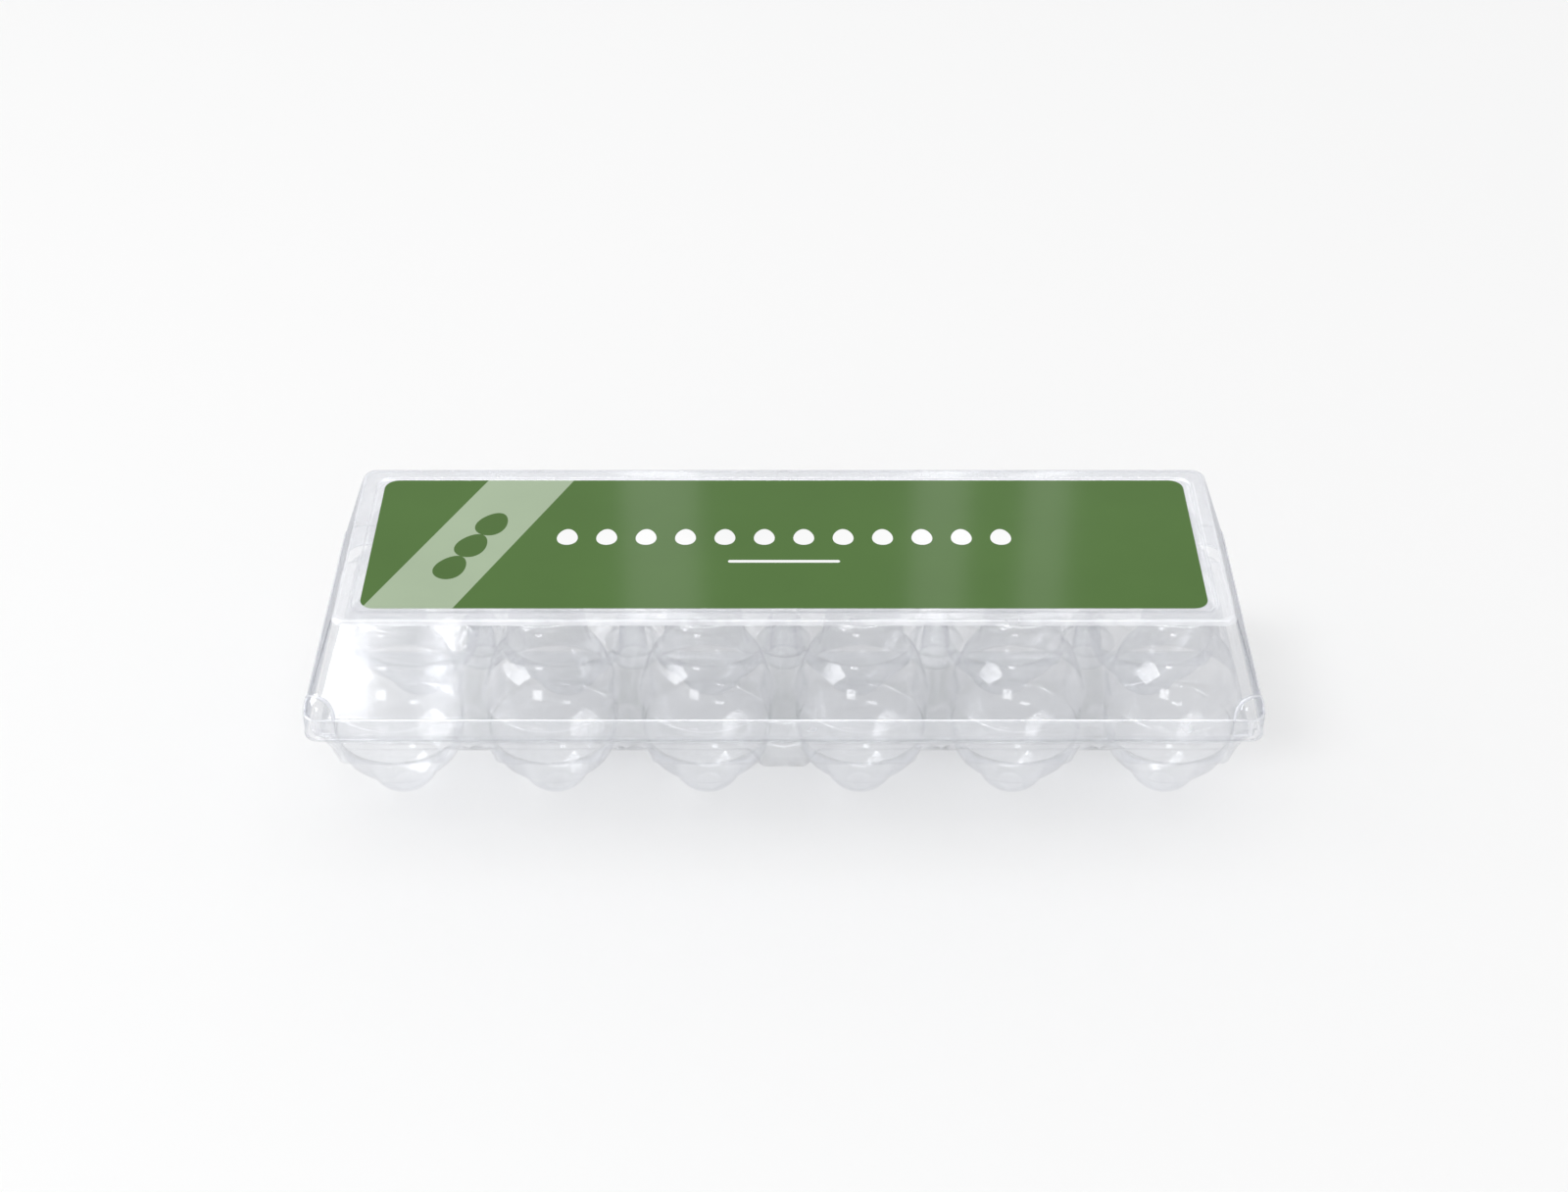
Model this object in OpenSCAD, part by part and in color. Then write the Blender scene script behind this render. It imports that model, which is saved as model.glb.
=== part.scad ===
// Clear hinged egg carton for twelve eggs: a tray of cups, an inner cover of domes that folds
// over from the front edge, and an outer lid that folds over from the rear edge.
// +X is to the right, -Y is the front, +Z is up. The origin is under the middle of the tray,
// at the level of the cup bottoms.

/* [Carton] */
// Distance between cup centres, the same along and across
pitch = 49.7; // [49:0.1:52]
// Overall length over the lid's lip
carton_length = 300; // [298:1:310]
// Overall depth over the lid's lip
carton_depth = 105; // [104:1:110]
// Overall height with the lid closed
carton_height = 79; // [78:1:84]
// Thickness of the formed sheet
sheet = 0.5; // [0.4:0.1:0.6]

/* [Tray] */
// Radius of the round bulb at the foot of a cup
bulb_r = 12; // [11:0.5:12.5]
// Height of the bulb's centre, a little less than its radius so that the foot is flat
bulb_height = 11; // [10.5:0.5:11]
// Radius of a cup at its shoulder
shoulder_r = 20; // [19:0.5:20.5]
// Height of the shoulder
shoulder_height = 17; // [16:0.5:18]
// Height of the ledge where a cup gets its flat front and back
ledge_height = 25.2; // [24:0.2:26.4]
// Radius of a cup's mouth
mouth_r = 21.6; // [21:0.1:22]
// Half the width of the flat front and back of a cup's mouth
flat_half = 17.2; // [16:0.2:18]
// Height of the web that joins the cups
web_height = 32; // [31.5:0.5:33]
// Height of the tray's flange
flange_height = 37.9; // [37.6:0.1:38.6]
// Half the width of the bridge between the two middle cups
bridge_half = 8.5; // [7:0.5:10]
// Height of the posts between the cups
post_height = 45.5; // [43:0.5:46]

/* [Inner cover] */
// Radius of a dome where it rises from the cover
dome_base_r = 22.3; // [21.5:0.1:22.6]
// Radius of a dome's flat top
dome_top_r = 9; // [8:0.5:10]
// Height of a dome's flat top
dome_height = 72; // [71:0.5:74]
// Radius of a dome at its waist, under the rounded top
dome_waist_r = 13.6; // [13:0.2:14]
// Height of the waist
dome_waist_height = 59; // [58:0.5:60]
// Radius of a dome where its shoulder meets the lower side
dome_shoulder_r = 18.8; // [18.6:0.1:19]
// Height of the shoulder's lower edge
dome_shoulder_height = 51.5; // [51:0.5:52]

/* [Lid] */
// Height of the upright skirt's upper edge
skirt_height = 48.5; // [47:0.5:50]
// How far each side of the lid leans in from the skirt to the top
wall_lean = 11; // [9:0.5:11]
// Width of the raised border round the lid's top
rim_width = 5; // [4:0.5:5]
// Depth of the recess that holds the label
panel_recess = 0.8; // [0.6:0.1:1.2]
// Height of the round bosses at the front corners
boss_height = 56; // [54:0.5:58]
// Width of the snap dimples beside the front corners
dimple_width = 5.5; // [5:0.5:7]

/* [Label] */
// Length of the label
label_length = 262.4; // [255:0.2:264]
// Depth of the label
label_depth = 69.6; // [60:0.2:70]
// How far the label's centre lies behind the middle of the lid
label_shift = 0.8; // [0:0.1:0.8]

/* [Hidden] */
$fn = 48;
columns = 6;
rows = 2;
gap = 0.4;
lip = 1;
overlap = 0.01;
bridge_reach = 12;
tub_length = (columns - 1) * pitch + 2 * mouth_r;
tub_depth = (rows - 1) * pitch + 2 * mouth_r;
tub_corner = 8;
flat_corner = 1.5;
round_r = mouth_r - 0.5;
throat_r = mouth_r - 0.8;
band_length = tub_length + 2 * sheet;
band_depth = tub_depth + 2 * sheet;
flange_length = carton_length - 2 * lip;
flange_depth = carton_depth - 2 * lip;
flange_corner = 5;
cover_length = flange_length - 6;
cover_z = flange_height + sheet + gap;
cover_top = cover_z + sheet;
post_base_r = 5.6;
post_top_r = 4;
cap_base_r = 8;
cap_top_r = 5.4;
cap_height = post_height + 3;
skirt_length = carton_length - 0.4;
skirt_depth = carton_depth - 0.4;
skirt_corner = 5;
lip_gap = 1.6;
lip_bottom = flange_height + sheet + lip_gap;
lip_top = lip_bottom + lip - 0.2;
boss_x = skirt_length / 2 - skirt_corner;
boss_y = skirt_depth / 2 - skirt_corner;
dimple_depth = 1;
dimple_low = lip_top + 0.9;
dimple_high = skirt_height - 0.9;
top_length = skirt_length - 2 * wall_lean;
top_depth = skirt_depth - 2 * wall_lean;
top_corner = 4;
panel_top = carton_height - panel_recess;
label_thick = 0.15;
label_corner = 4.5;
hinge_length = 250;
bead = 0.5;

CLEAR = "lightsteelblue";
TINT = "lightgray";

// Places of the cells, posts and rows.
function cell_x(i) = (i - (columns + 1) / 2) * pitch;
function row_y(row) = row == "front" ? -pitch / 2 : pitch / 2;

// Outline of a cup from its axis out, moved inward by a wall's thickness and carried on above
// the ledge.
function cup_outline(inward, above) =
    let (r = bulb_r - inward,
         foot = inward,
         lean = inward * (sqrt(2) - 1),
         first = -asin((bulb_height - foot) / r),
         kink = shoulder_height - shoulder_r + bulb_r,
         last = -asin((bulb_height - kink) / r),
         steps = 6)
    concat(
        [[0, foot]],
        [for (k = [0:steps])
            let (a = first + (last - first) * k / steps) [r * cos(a), bulb_height + r * sin(a)]],
        [[shoulder_r - inward, shoulder_height + lean],
         [throat_r - inward, ledge_height],
         [throat_r - inward, ledge_height + above],
         [0, ledge_height + above]]
    );

// Outline of a dome from its axis out, moved inward by a wall's thickness: an upright lower
// side, a sloping shoulder, a steep waist and a rounded top.
function dome_outline(inward) =
    let (top = dome_height - inward,
         round_rise = 6,
         round_reach = 3.4,
         steps = 4)
    concat(
        [[0, cover_z],
         [dome_base_r - inward, cover_z],
         [dome_shoulder_r - inward, dome_shoulder_height],
         [(dome_waist_r + 2 * dome_shoulder_r) / 3 - inward, dome_shoulder_height + 4],
         [dome_waist_r - inward, dome_waist_height]],
        [for (k = [0:steps])
            let (a = 90 * k / steps)
            [dome_top_r - inward + round_reach * cos(a), top - round_rise * (1 - sin(a))]],
        [[0, top]]
    );

// Flat rectangle with round corners.
module rounded(length, depth, corner) {
    square([length - 2 * corner, depth], center = true);
    square([length, depth - 2 * corner], center = true);
    for (x = [-1, 1], y = [-1, 1])
        translate([x * (length / 2 - corner), y * (depth / 2 - corner)])
            circle(r = corner);
}

// Flat ring between two rounded rectangles.
module frame_ring(length, depth, corner, width, height) {
    linear_extrude(height)
        difference() {
            rounded(length, depth, corner);
            rounded(length - 2 * width, depth - 2 * width, max(corner - width, 0.5));
        }
}

// One thing at every cell.
module each_cell() {
    for (row = ["front", "rear"], i = [1:columns])
        translate([cell_x(i), row_y(row), 0])
            children();
}

// One thing at every crossing between four cells.
module each_crossing() {
    for (i = [1:columns - 1])
        translate([cell_x(i) + pitch / 2, 0, 0])
            children();
}

// Plan of a cup's mouth: round at the sides, flat at the front and back.
module mouth_plan(inward) {
    circle(r = round_r - inward);
    rounded(2 * (flat_half - inward), 2 * (mouth_r - inward), flat_corner - inward);
}

module cup_mouth(inward, bottom, top) {
    translate([0, 0, bottom])
        linear_extrude(top - bottom)
            mouth_plan(inward);
}

module cup(row, i) {
    color(TINT)
        translate([cell_x(i), row_y(row), 0])
            difference() {
                union() {
                    rotate_extrude()
                        polygon(cup_outline(0, sheet / 2));
                    cup_mouth(0, ledge_height, web_height);
                }
                rotate_extrude()
                    polygon(cup_outline(sheet, 2 * sheet));
                cup_mouth(sheet, ledge_height + sheet, web_height + 1);
            }
}

// Flat web between the cups, with a hole at each cup and at each post.
module tray_web() {
    color(TINT)
        translate([0, 0, web_height])
            linear_extrude(sheet)
                difference() {
                    rounded(tub_length, tub_depth, tub_corner);
                    each_cell()
                        mouth_plan(sheet);
                    each_crossing()
                        circle(r = post_base_r - sheet);
                }
}

// Upright wall round the tray, from the web to the flange.
module tray_band() {
    color(TINT)
        translate([0, 0, web_height])
            frame_ring(band_length, band_depth, tub_corner + sheet, sheet, flange_height - web_height);
}

// Flat flange round the tray's mouth.
module tray_flange() {
    color(CLEAR)
        translate([0, 0, flange_height])
            linear_extrude(sheet)
                difference() {
                    rounded(flange_length, flange_depth, flange_corner);
                    rounded(tub_length, tub_depth, tub_corner);
                }
}

// Plan of the space between the two middle cups of a row, out to the band.
module bridge_plan(side, near, far) {
    difference() {
        translate([-bridge_half, side > 0 ? near : -far])
            square([2 * bridge_half, far - near]);
        for (x = [-1, 1])
            translate([x * pitch / 2, side * pitch / 2])
                mouth_plan(0);
    }
}

// Pocket that carries the band's lower edge across between the two middle cups.
module bridge(side) {
    far = tub_depth / 2;
    near = far - bridge_reach;
    color(TINT)
        translate([0, 0, ledge_height]) {
            linear_extrude(sheet)
                bridge_plan(side, near, far);
            linear_extrude(web_height - ledge_height) {
                bridge_plan(side, far - sheet, far);
                bridge_plan(side, near, near + sheet);
            }
        }
}

// Hollow cone between two heights.
module hollow_cone(base_r, tip_r, bottom, top) {
    rotate_extrude()
        polygon([
            [base_r - sheet, bottom],
            [base_r, bottom],
            [tip_r, top],
            [0, top],
            [0, top - sheet],
            [tip_r - sheet, top - sheet]
        ]);
}

module support_posts() {
    color(TINT)
        each_crossing()
            hollow_cone(post_base_r, post_top_r, web_height + sheet, post_height);
}

// Thin bead along the flange's edge where the sheet folds.
module hinge_bead(side) {
    color(CLEAR)
        translate([-hinge_length / 2, side * (flange_depth / 2 + bead / 2) - bead / 2, flange_height])
            cube([hinge_length, bead, sheet]);
}

module dome(row, i) {
    color(CLEAR)
        translate([cell_x(i), row_y(row), 0])
            difference() {
                rotate_extrude()
                    polygon(dome_outline(0));
                translate([0, 0, -overlap])
                    rotate_extrude()
                        polygon(dome_outline(sheet));
            }
}

// Flat sheet that joins the domes.
module cover_deck() {
    color(CLEAR)
        translate([0, 0, cover_z])
            linear_extrude(sheet)
                difference() {
                    rounded(cover_length, flange_depth, flange_corner);
                    each_cell()
                        circle(r = dome_base_r);
                    each_crossing()
                        circle(r = cap_base_r - sheet);
                }
}

module post_caps() {
    color(CLEAR)
        each_crossing()
            hollow_cone(cap_base_r, cap_top_r, cover_top, cap_height);
}

// Solid lid body between the skirt and the top, moved inward by a wall's thickness.
module lid_body(inward) {
    hull() {
        translate([0, 0, skirt_height])
            linear_extrude(overlap)
                rounded(skirt_length - 2 * inward, skirt_depth - 2 * inward, skirt_corner - inward);
        translate([0, 0, panel_top - overlap])
            linear_extrude(overlap)
                rounded(top_length - 2 * inward, top_depth - 2 * inward, top_corner - inward);
    }
}

// Plan of one wall: a wedge that ends on the mitre lines of the corners.
module wall_wedge(side, along_x) {
    low = along_x ? skirt_depth / 2 - wall_lean - top_corner : skirt_length / 2 - wall_lean - top_corner;
    far = low + wall_lean + 2 * top_corner;
    mid_low = along_x ? top_length / 2 - top_corner : top_depth / 2 - top_corner;
    mid_far = mid_low + far - low;
    points = [[-mid_low, low], [mid_low, low], [mid_far, far], [-mid_far, far]];
    linear_extrude(carton_height)
        rotate(along_x ? (side > 0 ? 0 : 180) : (side > 0 ? -90 : 90))
            polygon(points);
}

module lid_wall(side, along_x) {
    color(CLEAR)
        intersection() {
            difference() {
                lid_body(0);
                lid_body(sheet);
            }
            wall_wedge(side, along_x);
        }
}

module lid_skirt() {
    color(CLEAR)
        translate([0, 0, lip_top])
            frame_ring(skirt_length, skirt_depth, skirt_corner, sheet, skirt_height - lip_top);
}

module lid_lip() {
    color(CLEAR)
        translate([0, 0, lip_bottom])
            frame_ring(carton_length, carton_depth, skirt_corner, 0.2 + sheet, lip_top - lip_bottom);
}

// Raised border round the top.
module lid_rim() {
    color(CLEAR)
        translate([0, 0, panel_top])
            frame_ring(top_length, top_depth, top_corner, rim_width, panel_recess);
}

module lid_panel() {
    inset = 2 * sheet + overlap;
    color(CLEAR)
        translate([0, 0, panel_top - sheet])
            linear_extrude(sheet)
                rounded(top_length - inset, top_depth - inset, top_corner - sheet);
}

// Outline of a boss from its axis out: an upright side under a domed top.
function boss_outline(inward) =
    let (r = skirt_corner - inward, rise = boss_height - skirt_height - inward)
    concat(
        [[0, skirt_height]],
        [for (a = [0:15:90]) [r * cos(a), skirt_height + rise * sin(a)]]
    );

// Round boss that stands out of a front corner of the lid, above the skirt.
module corner_boss(side) {
    color(CLEAR)
        difference() {
            translate([side * boss_x, -boss_y, 0])
                rotate_extrude()
                    polygon(boss_outline(0));
            lid_body(0);
        }
}

// Hollow dimple on the inside of the skirt, which snaps over the flange's edge.
module snap_dimple(side) {
    outer_y = skirt_depth / 2 - sheet;
    color(CLEAR)
        translate([side * (boss_x - dimple_width / 2) - dimple_width / 2, -outer_y, dimple_low])
            difference() {
                cube([dimple_width, dimple_depth, dimple_high - dimple_low]);
                translate([sheet, -sheet, sheet])
                    cube([dimple_width - 2 * sheet, dimple_depth, dimple_high - dimple_low - 2 * sheet]);
            }
}

module label() {
    color("darkolivegreen")
        translate([0, label_shift, panel_top])
            linear_extrude(label_thick)
                rounded(label_length, label_depth, label_corner);
}

for (row = ["front", "rear"], i = [1:columns]) {
    cup(row, i);
    dome(row, i);
}
tray_web();
tray_band();
tray_flange();
bridge(-1);  // front_bridge
bridge(1);  // rear_bridge
support_posts();
hinge_bead(-1);  // front_hinge
hinge_bead(1);  // rear_hinge
cover_deck();
post_caps();
lid_wall(-1, true);  // lid_front_wall
lid_wall(1, true);  // lid_rear_wall
lid_wall(-1, false);  // lid_left_wall
lid_wall(1, false);  // lid_right_wall
lid_skirt();
lid_lip();
lid_rim();
lid_panel();
corner_boss(-1);  // left_corner_boss
corner_boss(1);  // right_corner_boss
snap_dimple(-1);  // left_snap_dimple
snap_dimple(1);  // right_snap_dimple
label();
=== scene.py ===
import math

import bmesh
import bpy
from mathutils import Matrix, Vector


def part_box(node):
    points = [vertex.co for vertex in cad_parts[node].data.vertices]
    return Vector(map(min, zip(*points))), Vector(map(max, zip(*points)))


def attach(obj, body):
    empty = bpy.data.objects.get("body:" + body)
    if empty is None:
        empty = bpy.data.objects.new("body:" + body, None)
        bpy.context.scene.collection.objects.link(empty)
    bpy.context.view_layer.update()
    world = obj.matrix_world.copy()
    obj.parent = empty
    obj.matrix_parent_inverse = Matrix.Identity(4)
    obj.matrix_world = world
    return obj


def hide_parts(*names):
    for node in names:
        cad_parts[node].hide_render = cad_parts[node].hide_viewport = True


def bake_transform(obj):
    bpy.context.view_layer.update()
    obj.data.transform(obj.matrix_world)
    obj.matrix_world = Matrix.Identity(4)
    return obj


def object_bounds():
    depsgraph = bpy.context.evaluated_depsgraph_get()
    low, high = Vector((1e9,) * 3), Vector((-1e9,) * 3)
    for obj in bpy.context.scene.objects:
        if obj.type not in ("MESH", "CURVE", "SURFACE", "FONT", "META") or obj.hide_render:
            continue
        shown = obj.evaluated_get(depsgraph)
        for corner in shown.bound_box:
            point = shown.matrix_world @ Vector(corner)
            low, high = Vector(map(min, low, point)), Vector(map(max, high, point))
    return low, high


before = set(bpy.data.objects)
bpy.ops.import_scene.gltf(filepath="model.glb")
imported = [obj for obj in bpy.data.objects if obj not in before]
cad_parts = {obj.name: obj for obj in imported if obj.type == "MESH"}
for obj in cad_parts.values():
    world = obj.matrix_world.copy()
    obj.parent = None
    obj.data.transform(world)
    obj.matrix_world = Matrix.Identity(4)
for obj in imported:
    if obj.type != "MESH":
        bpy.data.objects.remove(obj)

CAD_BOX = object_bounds()


def mm(value):
    """Millimetres to metres."""
    return value / 1000


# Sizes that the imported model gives, in metres.
LIP_LOW, LIP_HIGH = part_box("lid_lip")
SKIRT_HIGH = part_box("lid_skirt")[1]
RIM_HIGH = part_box("lid_rim")[1]
PANEL_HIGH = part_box("lid_panel")[1]
LABEL_LOW, LABEL_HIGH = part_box("label")
FLANGE_LOW, FLANGE_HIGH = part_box("tray_flange")
BAND_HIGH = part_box("tray_band")[1]
WEB_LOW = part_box("tray_web")[0]
DECK_LOW, DECK_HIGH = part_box("cover_deck")
POST_LOW, POST_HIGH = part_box("support_posts")
CAP_LOW, CAP_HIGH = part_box("post_caps")
BRIDGE_LOW, BRIDGE_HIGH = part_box("front_bridge")
DIMPLE_LOW, DIMPLE_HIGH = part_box("right_snap_dimple")
BOSS_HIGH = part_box("right_corner_boss")[1]
HINGE_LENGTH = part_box("front_hinge")[1].x * 2

COLUMNS = 6
ROWS = ("front", "rear")
FILM = mm(0.35)
PRINT_THICKNESS = mm(0.02)


def middle(node):
    """Centre of a CAD node's box, in plan."""
    low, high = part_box(node)
    return Vector(((low.x + high.x) / 2, (low.y + high.y) / 2))


CELLS = {(row, i): middle(f"cup_{row}_{i}") for row in ROWS for i in range(1, COLUMNS + 1)}
PITCH = CELLS["front", 2].x - CELLS["front", 1].x
SADDLES = [CELLS["front", i].x + PITCH / 2 for i in (1, 2, 4, 5)]

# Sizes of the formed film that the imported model's boxes don't give.
BULB_R = mm(12)
BULB_HEIGHT = mm(11)
SHOULDER_R = mm(20)
SHOULDER_HEIGHT = mm(17)
THROAT_R = mm(20.7)
ROUND_R = mm(21)
FLAT_HALF = mm(17)
FLAT_HALF_TOP = mm(19.3)
DOME_TOP_R = mm(9)
DOME_WAIST_R = mm(13.6)
DOME_WAIST_DROP = mm(14.5)
DOME_SHOULDER_R = mm(18.8)
DOME_SHOULDER_DROP = mm(22)
SADDLE_HEIGHT = mm(2.8)
SKIRT_CORNER = mm(5)
TOP_CORNER = mm(4)
RIM_WIDTH = mm(5)
WALL_LEDGE = mm(0.5)
BOSS_RADIUS = mm(4.7)
BOSS_INSET = mm(5.5)
DIMPLE_REACH = mm(5.8)
DIMPLE_HALF = mm(3.3)
DIMPLE_DEPTH = mm(0.9)
CREASE_HIGHLIGHT_RADIUS = mm(0.26)
BAND_CORNER = mm(8.5)
DECK_CORNER = mm(5)
LABEL_CORNER = mm(4.5)

# Label prints: a row of eggs over a bar, and three eggs along the stripe.
ROW_EGGS = 12
ROW_PITCH = mm(12.6)
ROW_Y = mm(3.6)
BAR_HALF = mm(17)
BAR_RADIUS = mm(0.7)
BAR_Y = mm(-9.6)
STRIPE_EDGES = (mm(0.8), mm(29))
STRIPE_SHIFT = mm(33)
STRIPE_EGG_X = mm(-99.5)
STRIPE_EGG_Y = mm(-1)
STRIPE_EGG_PITCH = mm(13)

# Share of light that the film's surface mirrors, seen face on.
FACE_SHINE = 0.045
MILK = (0.9, 0.91, 0.94, 1)


# ---------------------------------------------------------------- materials


def new_material(name):
    """Empty node material and its output node."""
    mat = bpy.data.materials.new(name)
    mat.use_nodes = True
    mat.node_tree.nodes.clear()
    out = mat.node_tree.nodes.new("ShaderNodeOutputMaterial")
    return mat, out


def add(mat, kind, **values):
    """New node with its sockets or properties set by name."""
    node = mat.node_tree.nodes.new(kind)
    for key, value in values.items():
        label = key.replace("_", " ")
        if label in node.inputs:
            node.inputs[label].default_value = value
        else:
            setattr(node, key, value)
    return node


def link(mat, source, target):
    mat.node_tree.links.new(source, target)


def maths(mat, operation, first, second=None):
    """Math node fed by sockets or plain numbers."""
    node = add(mat, "ShaderNodeMath", operation=operation)
    for socket, value in zip(node.inputs, (first, second)):
        if value is None:
            continue
        if isinstance(value, (int, float)):
            socket.default_value = value
        else:
            link(mat, value, socket)
    return node.outputs[0]


def film_bump(mat, scale, strength, distance):
    """Soft ripples of vacuum formed film."""
    coords = add(mat, "ShaderNodeTexCoord")
    noise = add(mat, "ShaderNodeTexNoise", Scale=scale, Detail=2.0, Roughness=0.45)
    bump = add(mat, "ShaderNodeBump", Strength=strength, Distance=distance)
    link(mat, coords.outputs["Object"], noise.inputs["Vector"])
    link(mat, noise.outputs["Fac"], bump.inputs["Height"])
    return bump.outputs["Normal"]


def clear_film(name, face_tint, edge_tint, haze, roughness, ripple,
               strength=0.2, mirror_shade=(1, 1, 1), shine=FACE_SHINE, edge_shine=0.8):
    """Clear formed PET: see-through face on, more tinted and mirror-like where it turns away.

    haze is the milky share, ripple the scale of its waves and strength their height. A mirror
    colour below white greys the reflections: painted shade."""
    mat, out = new_material(name)
    normal = film_bump(mat, ripple, strength, mm(0.5))
    weight = add(mat, "ShaderNodeLayerWeight", Blend=0.5)
    link(mat, normal, weight.inputs["Normal"])
    turned = maths(mat, "POWER", weight.outputs["Facing"], 2.5)
    tint = add(mat, "ShaderNodeMix", data_type="RGBA")
    tint.inputs["A"].default_value = (*face_tint, 1)
    tint.inputs["B"].default_value = (*edge_tint, 1)
    link(mat, turned, tint.inputs["Factor"])
    through = add(mat, "ShaderNodeBsdfTransparent")
    link(mat, tint.outputs["Result"], through.inputs["Color"])
    milk = add(mat, "ShaderNodeBsdfDiffuse", Color=MILK)
    body = add(mat, "ShaderNodeMixShader")
    clouds = add(mat, "ShaderNodeTexNoise", Scale=60.0, Detail=3.0)
    link(mat, add(mat, "ShaderNodeTexCoord").outputs["Object"], clouds.inputs["Vector"])
    milkiness = maths(mat, "MULTIPLY", clouds.outputs["Fac"], haze * 2)
    link(mat, milkiness, body.inputs["Fac"])
    link(mat, through.outputs[0], body.inputs[1])
    link(mat, milk.outputs[0], body.inputs[2])
    gloss = add(mat, "ShaderNodeBsdfGlossy", Color=(*mirror_shade, 1), Roughness=roughness)
    link(mat, normal, gloss.inputs["Normal"])
    mirror = maths(mat, "POWER", weight.outputs["Facing"], 4.5)
    mirror = maths(mat, "MULTIPLY", mirror, edge_shine)
    mirror = maths(mat, "ADD", mirror, shine)
    top = add(mat, "ShaderNodeMixShader")
    link(mat, mirror, top.inputs["Fac"])
    link(mat, body.outputs[0], top.inputs[1])
    link(mat, gloss.outputs[0], top.inputs[2])
    link(mat, top.outputs[0], out.inputs["Surface"])
    return mat


def printed_film(name, colour, roughness=0.08):
    """Printed label film: ink with slight density variation and a faint sheen."""
    mat, out = new_material(name)
    coords = add(mat, "ShaderNodeTexCoord")
    noise = add(mat, "ShaderNodeTexNoise", Scale=35.0, Detail=4.0)
    link(mat, coords.outputs["Object"], noise.inputs["Vector"])
    ink = add(mat, "ShaderNodeMix", data_type="RGBA")
    ink.inputs["A"].default_value = (*[c * 0.93 for c in colour], 1)
    ink.inputs["B"].default_value = (*[min(1, c * 1.07) for c in colour], 1)
    link(mat, noise.outputs["Fac"], ink.inputs["Factor"])
    shader = add(mat, "ShaderNodeBsdfPrincipled", Roughness=roughness)
    shader.inputs["IOR"].default_value = 1.2
    link(mat, ink.outputs["Result"], shader.inputs["Base Color"])
    link(mat, film_bump(mat, 30.0, 0.05, mm(0.3)), shader.inputs["Normal"])
    link(mat, shader.outputs[0], out.inputs["Surface"])
    return mat


# ---------------------------------------------------------------- mesh helpers


def finish_mesh(name, bm, materials, body, nodes, thickness=0.0, shades=True, inward=-1):
    """Turns a bmesh into a smooth shaded piece that stands for CAD nodes and rides on a body.

    shades says whether it casts a shadow, and inward which side of the surface it thickens to."""
    mesh = bpy.data.meshes.new(name)
    bm.to_mesh(mesh)
    bm.free()
    for face in mesh.polygons:
        face.use_smooth = True
    for mat in materials:
        mesh.materials.append(mat)
    piece = bpy.data.objects.new(name, mesh)
    bpy.context.scene.collection.objects.link(piece)
    if thickness:
        shell = piece.modifiers.new("film", "SOLIDIFY")
        shell.thickness = thickness
        shell.offset = inward
        shell.use_even_offset = False
    piece.visible_shadow = shades
    if nodes:
        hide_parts(*nodes)
    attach(piece, body)
    return piece


def bridge_rings(bm, rings, closed=True):
    """Quads between rings that have the same number of vertices."""
    for lower, upper in zip(rings, rings[1:]):
        count = len(lower)
        for j in range(count if closed else count - 1):
            k = (j + 1) % count
            bm.faces.new((lower[j], lower[k], upper[k], upper[j]))


def rounded_line(points, radii, steps=5):
    """Open outline with each inner corner replaced by a smooth curve of about the given size."""
    line = [Vector(points[0])]
    for before, corner, after, size in zip(points, points[1:], points[2:], radii):
        before, corner, after = Vector(before), Vector(corner), Vector(after)
        reach = min(size, (before - corner).length * 0.48, (after - corner).length * 0.48)
        start = corner + (before - corner).normalized() * reach
        end = corner + (after - corner).normalized() * reach
        for k in range(steps + 1):
            t = k / steps
            line.append(start * (1 - t) ** 2 + corner * 2 * t * (1 - t) + end * t * t)
    line.append(Vector(points[-1]))
    return line


def resampled(line, step):
    """The same outline with long stretches divided so that no step is longer than step."""
    points = [line[0]]
    for a, b in zip(line, line[1:]):
        count = max(1, math.ceil((b - a).length / step))
        points += [a.lerp(b, (k + 1) / count) for k in range(count)]
    return points


def eased(t):
    t = min(max(t, 0.0), 1.0)
    return t * t * (3 - 2 * t)


def onto_rounded(x, y, half_x, half_y, corner):
    """Nearest point to (x, y) on a rounded rectangle, measured out from its straight core."""
    core_x = min(max(x, -(half_x - corner)), half_x - corner)
    core_y = min(max(y, -(half_y - corner)), half_y - corner)
    out = Vector((x - core_x, y - core_y))
    if out.length < 1e-9:
        return Vector((x, y))
    out = out.normalized() * corner
    return Vector((core_x + out.x, core_y + out.y))


# ---------------------------------------------------------------- cells


def side_steps(count):
    """Places along a cell's side from 0 to 1, closer together near the corners."""
    plain = [j / count for j in range(count)]
    return [0.5 * u + 0.25 * (1 - math.cos(math.pi * u)) for u in plain]


def cell_border(centre, left, right, front, back, outline, count=22):
    """Points round a cell, anticlockwise, with outer corners moved onto the panel's own outline."""
    corners = [(-left, -front), (right, -front), (right, back), (-left, back)]
    border = []
    for (ax, ay), (bx, by) in zip(corners, corners[1:] + corners[:1]):
        for u in side_steps(count):
            x = centre.x + ax + (bx - ax) * u
            y = centre.y + ay + (by - ay) * u
            half_x, half_y, corner = outline
            if abs(x) > half_x - corner and abs(y) > half_y - corner:
                border.append(onto_rounded(x, y, half_x, half_y, corner))
            else:
                border.append(Vector((x, y)))
    return border


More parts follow.
